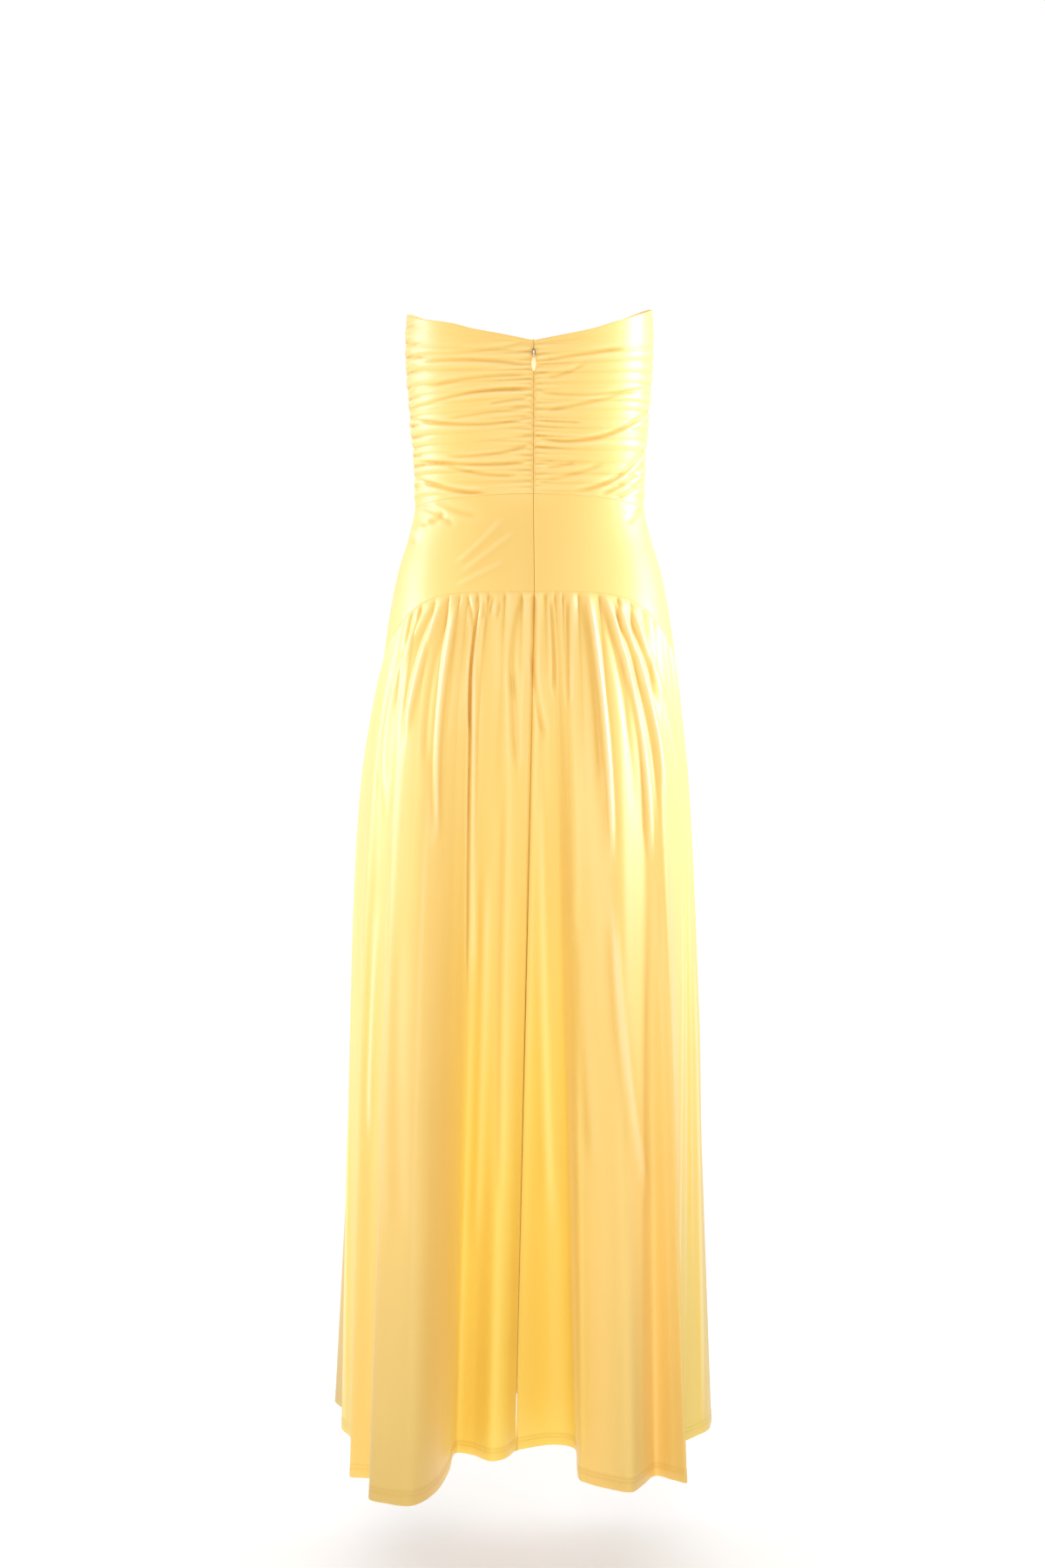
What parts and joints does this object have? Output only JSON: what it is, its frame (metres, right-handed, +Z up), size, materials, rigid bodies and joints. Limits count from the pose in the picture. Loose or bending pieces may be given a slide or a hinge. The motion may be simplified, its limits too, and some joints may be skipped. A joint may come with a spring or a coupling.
{
  "type": "maxi dress",
  "caption": "Strapless maxi dress in smooth jersey with a ruched bodice, centre back zip, hip yoke and long gathered skirt.",
  "frame": {"origin": "middle of the chest band by which the wearer holds the dress up, 40 mm under the side seams' tops, on the bodice's axis", "axes": "+Z up along the wearer, -Y towards the dress's back and its zip, +X to the wearer's right"},
  "size_m": [0.4313, 0.4685, 1.2459],
  "materials": {
    "jersey": "smooth butter yellow viscose jersey, soft sheen",
    "zip_tape": "woven yellow zip tape with a nylon coil",
    "zip_metal": "yellow enamelled slider and pull"
  },
  "bodies": {
    "dress": {"bodice_front": "jersey", "bodice_back_left": "jersey", "bodice_back_right": "jersey", "yoke_front": "jersey", "yoke_back_left": "jersey", "yoke_back_right": "jersey", "skirt_front": "jersey", "skirt_back_left": "jersey", "skirt_back_right": "jersey", "zip_tape": "zip_tape", "zip_slider": "zip_metal"},
    "zip_pull": {"zip_pull": "zip_metal"}
  },
  "joints": [
    {"name": "zip_pull_swing", "type": "hinge", "parent": "dress", "child": "zip_pull", "pos_m": [0.00415, -0.09766, -0.0204], "axis": [-1, 0, 0], "range_deg": [0, 150]}
  ]
}
